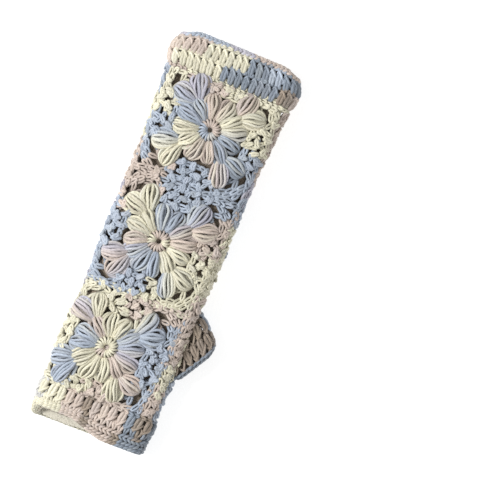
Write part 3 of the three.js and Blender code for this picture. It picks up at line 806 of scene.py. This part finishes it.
class Rounds(Yarn):
    """Rows worked right round a tube, with dyes from the middle of its underside."""

    def __init__(self, seed, surface, quarter_at, keep=None):
        super().__init__(seed, surface, keep)
        self.quarter_at = quarter_at

    def girth(self, along):
        return 4 * float(self.quarter_at(along))

    def chain(self, along, codes, height, stitch, width, radius):
        """Chain stitches right round."""
        full = self.girth(along)
        u = np.linspace(-full / 2, full / 2, ROUND_POINTS)

        def dye_at(place):
            return dye_along(codes, place[0] / full + 0.5)

        chain(self, np.column_stack([u, np.full_like(u, along)]), dye_at, height, stitch, width,
              radius)

    def stitches(self, base, top, codes, pitch, radius, height, strands=LEAF, slope=0.0,
                 loose=0.25):
        """A row of stitches from base to top, which lean by slope, give or take loose."""
        random = self.random
        middle = (base + top) / 2
        full = self.girth(middle)
        count = round(full / pitch)
        half = full / count / 2
        for i in range(count):
            u = full * (i + 0.5 + random.normal(0, 0.05)) / count - full / 2
            dye = soften(dye_along(codes, (i + 0.5) / count), random, 0.1)
            full_yarn = 0.9 + 0.34 * np.mean(dye)
            lean = random.normal(slope, loose)
            reach = random.uniform(0.95, 1.08)

            def place(across, share, up):
                along = base + (top - base) * share * reach
                scale = self.girth(along) / full
                return u * scale + across * half + lean * (share - 0.5), along, up * height

            # light paints highlight or shade into each strand's dye
            for points, thick, light in strands:
                points = [place(*point) for point in points]
                if self.keeps(points):
                    line(self, points, thick * radius * full_yarn * random.uniform(0.93, 1.08),
                         dye * light * random.uniform(0.95, 1.05), STITCH_POINTS, STITCH_TAPER)

    def rope(self, along, codes, height, length, slant, radius, buried_painted_shade=None):
        """Long slanted strands that lie over each other right round, as on a worked edge."""
        random = self.random
        full = self.girth(along)
        count = round(full / (ROPE_STEP * length))
        for i in range(count):
            u = full * (i + 0.5 + random.normal(0, 0.06)) / count - full / 2
            rise = slant * random.uniform(0.8, 1.2)
            points = [(u + across * length, along + share * rise, height + up)
                      for across, share, up in ROPE_STRAND]
            if self.keeps(points):
                line(self, points, radius * random.uniform(0.92, 1.08),
                     soften(dye_along(codes, (i + 0.5) / count), random, 0.12), ROPE_POINTS,
                     ROPE_TAPER, buried_painted_shade)


# Dyes round the cuffs, from the middle of the palm over the outer side, the back and the thumb
# The letters d and t carry painted shade, and dark blue is partly a deeper dye too
WRIST_UPPER = "bbpppppppccccddbddddppcc"
WRIST_LOWER = "ccbbpppccccdddddtppppccb"
WRIST_BASE = "ccbbppppccccccccccppbbcc"
WRIST_RIM = "bbbbbllbbbbllppppppppppb"
HAND_POSTS = "ppcccggccpptpppdtddbccpp"
HAND_RIM = "cccccccccpptpptdddddddcc"

# Dyes round the thumb sleeve, and its rows: dyes, and top and base as distances from the rim
# The sleeve lies in the glove's shadow, so its dyes are mostly d and t, with painted shade
THUMB_RIM_DYES = "d"
THUMB_ROPE_DYES = "ddddddtd"
THUMB_ROWS = [
    ("ttttttttttttddtt", 3.2, 15.5),
    ("ttttptttttttbdtt", 14.5, 27.0),
    ("ttttttttpttdbbtt", 26.0, 38.5),
    ("ttptttttttttbbtt", 37.5, 50.0),
]
THUMB_ROW_CHAIN = 2.0

# Each piece has its own seed, so a change to one leaves the rest as it is
SEEDS = {
    "lining": 5, "wrist_cuff": 11, "hand_cuff": 12, "thumb_sleeve": 13,
    "flower": 20, "net": 40, "side_strip": 60,
}


def wrist_tube(path):
    """The tube, with the corners of the wrist rim drawn in as they lie."""
    points = tube(path)
    half = section_at(points[..., 1])[0]
    corner = smooth((np.abs(points[..., 0]) / half - 0.7) / 0.3)
    reach = np.clip((points[..., 1] - WRIST_JOIN) / WRIST_CUFF_LENGTH, 0, 1)
    points[..., 1] -= WRIST_CORNER_DRAW * corner * reach ** 2
    return points


def wrist_cuff():
    """Two rows of tall stitches between chains, then ropes that turn in."""
    rounds = Rounds(SEEDS["wrist_cuff"], wrist_tube, tube_quarter)

    def at(share):
        return mix(WRIST_JOIN, HALF_LENGTH, share)

    rounds.chain(at(0.03), WRIST_BASE, height=0.0, stitch=4.3, width=4.2, radius=0.9)
    rounds.chain(at(0.14), WRIST_BASE, height=-0.5, stitch=4.3, width=4.4, radius=0.9)
    rounds.chain(at(0.3), WRIST_LOWER, height=-0.3, stitch=5.6, width=6.4, radius=1.3)
    rounds.stitches(at(0.08), at(0.47), WRIST_LOWER, pitch=5.6, radius=1.45, height=1.7)
    rounds.chain(at(0.49), WRIST_LOWER, height=0.5, stitch=5.4, width=4.8, radius=1.1)
    rounds.chain(at(0.67), WRIST_UPPER, height=-0.3, stitch=5.6, width=6.4, radius=1.3)
    rounds.stitches(at(0.43), at(0.87), WRIST_UPPER, pitch=5.6, radius=1.45, height=1.7)
    rounds.chain(at(0.9), WRIST_UPPER, height=0.6, stitch=5.4, width=4.4, radius=1.0)
    rounds.rope(at(0.945), WRIST_RIM, height=0.6, length=5.6, slant=1.5, radius=1.2)
    # Ropes that turn in under the rim, with the painted shade of their buried parts as the last
    # column
    for share, height, length, slant, radius, shade in (
        (0.99, -0.3, 5.6, -0.8, 1.1, 0.85),
        (0.98, -2.1, 6.0, 0.5, 1.1, 0.8),
        (0.96, -3.4, 6.0, 0.4, 1.0, 0.75),
    ):
        rounds.rope(at(share), WRIST_RIM, height, length, slant, radius, shade)
    return rounds.mesh("wrist_cuff_yarn")


def hand_cuff():
    """A fat row of stitches, a short one, then ropes that turn in."""
    rounds = Rounds(SEEDS["hand_cuff"], tube, tube_quarter)

    def at(share):
        return mix(HAND_JOIN, -HALF_LENGTH, share)

    rounds.chain(at(0.04), HAND_POSTS, height=0.2, stitch=4.6, width=4.4, radius=0.95)
    rounds.chain(at(0.3), HAND_POSTS, height=-0.5, stitch=5.0, width=5.0, radius=1.1)
    rounds.stitches(at(0.04), at(0.46), HAND_POSTS, pitch=6.8, radius=1.6, height=1.9,
                    slope=-1.6, loose=1.0)
    rounds.stitches(at(0.38), at(0.6), HAND_POSTS, pitch=4.6, radius=1.3, height=1.8,
                    strands=VEE, slope=-0.8, loose=0.9)
    rounds.rope(at(0.65), HAND_POSTS, height=0.7, length=5.4, slant=1.4, radius=1.1)
    # Ropes round the rim, then ones that turn in under it; the last column is their painted shade,
    # or None for the one that follows the dye
    for share, height, length, slant, radius, shade in (
        (0.75, 0.5, 5.4, -1.2, 1.1, None),
        (0.85, 0.7, 5.4, 1.3, 1.1, None),
        (0.94, 0.4, 5.4, 1.1, 1.1, None),
        (0.985, -0.7, 6.0, 0.5, 1.0, 0.9),
        (0.98, -2.1, 6.0, 0.4, 1.05, 0.85),
        (0.965, -3.4, 6.0, 0.4, 1.0, 0.8),
    ):
        rounds.rope(at(share), HAND_RIM, height, length, slant, radius, shade)
    return rounds.mesh("hand_cuff_yarn")


# How deep strands may lie in the other tube where the thumb sleeve meets the glove
DEEPEST_IN_TUBE = 1.0
DEEPEST_IN_THUMB = 1.5


def clear_of_tube(points):
    return depth_in_glove(points).max() < DEEPEST_IN_TUBE


def clear_of_thumb(points):
    return depth_in_thumb(points).max() < DEEPEST_IN_THUMB


def thumb_sleeve():
    """Ropes round the rim, then rows of loose stitches over chains up to the palm."""
    rounds = Rounds(SEEDS["thumb_sleeve"], thumb, thumb_quarter, clear_of_tube)
    rounds.rope(0.3, THUMB_RIM_DYES, height=-1.0, length=6.0, slant=0.4, radius=1.05)
    rounds.rope(2.0, THUMB_ROPE_DYES, height=0.3, length=6.0, slant=0.5, radius=1.1)
    # The rope turned in under the rim gets a lighter painted shade
    rounds.rope(0.8, THUMB_RIM_DYES, height=-2.3, length=6.0, slant=0.4, radius=1.0,
                buried_painted_shade=0.8)
    for codes, top, base in THUMB_ROWS:
        rounds.stitches(base, top, codes, pitch=6.4, radius=1.4, height=1.5, loose=0.8)
        rounds.chain(base - THUMB_ROW_CHAIN, codes, height=-0.6, stitch=5.0, width=4.6, radius=0.9)
    return rounds.mesh("thumb_sleeve_yarn")


# Materials
FIBRE_STRETCH = (5.0, 0.55, 3.0)
GROOVE_SHARE = 0.35
FLOOR_GREY = (0.5, 0.5, 0.5, 1.0)
FLOOR_GLOW = 0.75
WHITE = (1.0, 1.0, 1.0, 1.0)


def new_material(name):
    material = bpy.data.materials.new(name)
    material.use_nodes = True
    return material, material.node_tree, material.node_tree.nodes["Principled BSDF"]


def set_inputs(node, values):
    for name, value in values.items():
        node.inputs[name].default_value = value


def attribute(tree, name):
    node = tree.nodes.new("ShaderNodeAttribute")
    node.attribute_name = name
    return node


def calculate(tree, operation, *values):
    """The result of a Math node, whose values are numbers or other nodes' results."""
    node = tree.nodes.new("ShaderNodeMath")
    node.operation = operation
    for socket, value in zip(node.inputs, values):
        if isinstance(value, bpy.types.NodeSocket):
            tree.links.new(value, socket)
        else:
            socket.default_value = value
    return node.outputs[0]


def noise(tree, vector, settings):
    node = tree.nodes.new("ShaderNodeTexNoise")
    set_inputs(node, settings)
    tree.links.new(vector, node.inputs["Vector"])
    return node.outputs["Fac"]


def ramp(tree, value, low, high, lowest_value=0.0):
    """A value from its lowest to 1, brought to a range from low to high."""
    node = tree.nodes.new("ShaderNodeMapRange")
    set_inputs(node, {"From Min": lowest_value, "To Min": low, "To Max": high})
    tree.links.new(value, node.inputs["Value"])
    return node.outputs[0]


def between(tree, share, first, second):
    """A colour between two, which are linear colours or other nodes' results."""
    node = tree.nodes.new("ShaderNodeMix")
    node.data_type = "RGBA"
    tree.links.new(share, node.inputs["Factor"])
    for name, colour in (("A", first), ("B", second)):
        if isinstance(colour, bpy.types.NodeSocket):
            tree.links.new(colour, node.inputs[name])
        else:
            node.inputs[name].default_value = (*colour, 1.0)
    return node.outputs["Result"]


def add_bump(tree, shader, height, strength, distance):
    node = tree.nodes.new("ShaderNodeBump")
    set_inputs(node, {"Strength": strength, "Distance": distance})
    tree.links.new(height, node.inputs["Height"])
    tree.links.new(node.outputs[0], shader.inputs["Normal"])


def yarn_material():
    """Plied wool: grooves between the plies, painted darker as shade and raised by bumps, fibres
    along them, and a soft halo of sheen.
    """
    material, tree, shader = new_material("space_dyed_wool")
    set_inputs(shader, {"Roughness": 0.5, "Sheen Weight": 0.2, "Sheen Roughness": 0.5,
                        "Specular IOR Level": 0.5})
    ply = attribute(tree, "ply").outputs["Vector"]
    split = tree.nodes.new("ShaderNodeSeparateXYZ")
    tree.links.new(ply, split.inputs[0])
    groove = calculate(tree, "COSINE", calculate(tree, "MULTIPLY", split.outputs["X"], 2 * math.pi))
    stretch = tree.nodes.new("ShaderNodeVectorMath")
    stretch.operation = "MULTIPLY"
    stretch.inputs[1].default_value = FIBRE_STRETCH
    tree.links.new(ply, stretch.inputs[0])
    fibre = noise(tree, stretch.outputs[0], {"Scale": 1.3, "Detail": 3.0})
    place = tree.nodes.new("ShaderNodeTexCoord").outputs["Object"]
    patch = noise(tree, place, {"Scale": 160.0, "Detail": 2.0})

    # Painted shade in the ply grooves, times streaks along the fibres and a mottle, scales the dye
    shade = ramp(tree, groove, 0.9, 1.02, lowest_value=-1.0)
    streak = ramp(tree, fibre, 0.84, 1.14)
    mottle = ramp(tree, patch, 0.9, 1.1)
    tone = calculate(tree, "MULTIPLY", calculate(tree, "MULTIPLY", shade, streak), mottle)
    colour = tree.nodes.new("ShaderNodeVectorMath")
    colour.operation = "SCALE"
    tree.links.new(attribute(tree, "dye").outputs["Color"], colour.inputs[0])
    tree.links.new(tone, colour.inputs["Scale"])
    tree.links.new(colour.outputs[0], shader.inputs["Base Color"])
    relief = calculate(tree, "MULTIPLY_ADD", groove, GROOVE_SHARE, fibre)
    add_bump(tree, shader, relief, 0.5, 0.0004)
    return material


def fleece_material():
    """Short-pile fleece: curled tufts, paler at their tips, and a tan outer side, a guessed knitted
    back darkened with painted shade where it shows through the net.
    """
    material, tree, shader = new_material("cream_fleece")
    set_inputs(shader, {"Roughness": 0.95, "Sheen Weight": 0.35, "Specular IOR Level": 0.1})
    place = tree.nodes.new("ShaderNodeTexCoord").outputs["Object"]
    tuft = noise(tree, place, {"Scale": 520.0, "Detail": 4.0, "Distortion": 1.2})
    pile = between(tree, tuft, linear(196, 189, 172), linear(238, 234, 220))
    # The tan of the outer side is partly its own colour and partly painted shade seen through the
    # net
    colour = between(tree, attribute(tree, "backing_and_shade").outputs["Fac"], pile, linear(142, 129, 114))
    tree.links.new(colour, shader.inputs["Base Color"])
    add_bump(tree, shader, tuft, 0.9, 0.001)
    return material


def floor_material():
    """Pale and matt, with a glow like a light table's."""
    material, _, shader = new_material("pale_floor")
    set_inputs(shader, {
        "Base Color": FLOOR_GREY,
        "Roughness": 0.9,
        "Emission Color": WHITE,
        "Emission Strength": FLOOR_GLOW,
    })
    return material


# Lining: how rough its pile is, how softly its tan side, darkened with painted shade, begins inside
# the wall, and how high up its rim starts to be drawn back, on the solid and here
PILE = 0.12
BACKING_AND_SHADE_BLEND = 0.4
SOLID_MOUTH_START = 0.0
LINING_MOUTH_START = 0.75
RIM_TRIES = 6
JOIN_DISTANCE = 1e-6


def reach_to_palm_rim(points):
    """The solid lining is drawn back with the rim over the back of the hand. Its palm half goes
    to its own rim."""
    x, y, z = np.moveaxis(points, -1, 0)
    before = y.copy()
    for _ in range(RIM_TRIES):
        half, radius, _, low, _ = section_at(before)
        before = y - setback_at(x, z, before, half, radius, low, SOLID_MOUTH_START)
    half, radius, _, low, _ = section_at(before)
    moved = points.copy()
    drawn = setback_at(x, z, before, half, radius, low, LINING_MOUTH_START)
    moved[..., 1] = before + drawn - corner_reach_at(x, before, half)
    return moved


def lining():
    """The lining's own shape, its facets rounded off and its pile raised a little."""
    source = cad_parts["lining"]
    piece = add_object("lining_fleece", source.data.copy())
    piece.matrix_world = source.matrix_world
    piece.data.materials.clear()
    joined = bmesh.new()
    joined.from_mesh(piece.data)
    bmesh.ops.remove_doubles(joined, verts=joined.verts, dist=JOIN_DISTANCE)
    joined.to_mesh(piece.data)
    joined.free()
    finer = piece.modifiers.new("finer", "SUBSURF")
    finer.levels = finer.render_levels = 2
    bpy.context.view_layer.update()
    smoothed = piece.evaluated_get(bpy.context.evaluated_depsgraph_get())
    mesh = bpy.data.meshes.new_from_object(smoothed)
    piece.modifiers.clear()
    piece.data = mesh
    mesh.polygons.foreach_set("use_smooth", np.ones(len(mesh.polygons), bool))

    places = np.empty(3 * len(mesh.vertices))
    mesh.vertices.foreach_get("co", places)
    places = places.reshape(-1, 3) / MM - TUBE_MIDDLE
    deep_in_thumb = depth_in_thumb(places)
    deep = np.maximum(depth_in_glove(places), np.where(deep_in_thumb > 0, deep_in_thumb, 0))
    wall_middle = LINING_DEPTH + LINING_WALL / 2
    # The outer side's tan carries painted shade for the gaps in the net
    outer = smooth((wall_middle + BACKING_AND_SHADE_BLEND - deep) / (2 * BACKING_AND_SHADE_BLEND))
    mesh.attributes.new("backing_and_shade", "FLOAT", "POINT").data.foreach_set("value", outer)
    leaning = np.where(deep_in_thumb > 0, thumb_lean(back_in_thumb(places)), 0.0)
    places = reach_to_palm_rim(places) + leaning[:, None] * THUMB_ACROSS
    places += np.random.default_rng(SEEDS["lining"]).normal(0, PILE, places.shape)
    mesh.vertices.foreach_set("co", ((places + TUBE_MIDDLE) * MM).ravel())
    mesh.update()
    return piece


def finish_piece(piece, node, material):
    piece.data.materials.append(material)
    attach(piece, "root")
    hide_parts(node)


wool = yarn_material()
fleece = fleece_material()

finish_piece(lining(), "lining", fleece)
finish_piece(wrist_cuff(), "wrist_cuff", wool)
finish_piece(hand_cuff(), "hand_cuff", wool)
finish_piece(thumb_sleeve(), "thumb_sleeve", wool)

for number, (name, chart) in enumerate(SQUARES.items()):
    side, part = name.split("_")
    surface = square(FLOWER_Y[part], side)
    keep = clear_of_thumb if name in ("palm_middle", "palm_hand") else None
    puffs = Yarn(SEEDS["flower"] + number, surface, keep)
    flower(puffs, chart, PUFF_HEIGHT[side])
    finish_piece(puffs.mesh("puffs_" + name), "flower_" + name, wool)
    loops = Yarn(SEEDS["net"] + number, surface, keep)
    net(loops, chart["net"], part)
    finish_piece(loops.mesh("loops_" + name), "net_" + name, wool)

for side, sign, keep in (("thumb", 1, clear_of_thumb), ("outer", -1, None)):
    loops = Yarn(SEEDS["side_strip"] + sign, strip(sign), keep)
    strip_net(loops, STRIP_DYES[side])
    finish_piece(loops.mesh("loops_side_" + side), "side_strip_" + side, wool)

# Floor, of 4 m square
floor_mesh = bpy.data.meshes.new("floor")
floor_mesh.from_pydata([(-2, -2, 0), (2, -2, 0), (2, 2, 0), (-2, 2, 0)], [], [(0, 1, 2, 3)])
floor_mesh.materials.append(floor_material())
floor = add_object("floor", floor_mesh)

# Light: an even room, and one soft lamp on the left, aimed at the glove
ROOM_LIGHT = 0.54
KEY_PLACE = (-1.1, -0.15, 1.2)
KEY_SIZE = 0.5
KEY_POWER = 23.5

world = bpy.data.worlds.new("soft_room")
world.use_nodes = True
set_inputs(world.node_tree.nodes["Background"], {"Color": WHITE, "Strength": ROOM_LIGHT})
bpy.context.scene.world = world
lamp = bpy.data.lights.new("key", "AREA")
lamp.size = KEY_SIZE
lamp.energy = KEY_POWER
key = add_object("key", lamp)
key.location = KEY_PLACE
key.rotation_euler = (-Vector(KEY_PLACE)).to_track_quat("-Z", "Y").to_euler()

# The photograph looks straight down, with the glove's forearm end turned to the right of its top
PHOTO_SIZE = 480
MM_PER_PIXEL = 0.75
GLOVE_PIXEL = (164.3, 241.6)
GLOVE_TURN = math.radians(22.4)
CAMERA_HEIGHT = 1.5
CAMERA_RANGE = 10
SENSOR = 36.0

right = np.array([math.cos(GLOVE_TURN), math.sin(GLOVE_TURN)])
upward = np.array([-math.sin(GLOVE_TURN), math.cos(GLOVE_TURN)])
off_right = (PHOTO_SIZE / 2 - GLOVE_PIXEL[0]) * MM_PER_PIXEL
off_up = (GLOVE_PIXEL[1] - PHOTO_SIZE / 2) * MM_PER_PIXEL
look = TUBE_MIDDLE[:2] + off_right * right + off_up * upward
lens = bpy.data.cameras.new("camera")
lens.sensor_width = SENSOR
lens.lens = SENSOR * CAMERA_HEIGHT / (PHOTO_SIZE * MM_PER_PIXEL * MM)
lens.clip_end = CAMERA_RANGE
camera = add_object("camera", lens)
camera.location = (look[0] * MM, look[1] * MM, CAMERA_HEIGHT + BODY_HEIGHT * MM)
camera.rotation_euler = (0.0, 0.0, GLOVE_TURN)
bpy.context.scene.camera = camera
bpy.context.scene.view_settings.view_transform = "Standard"
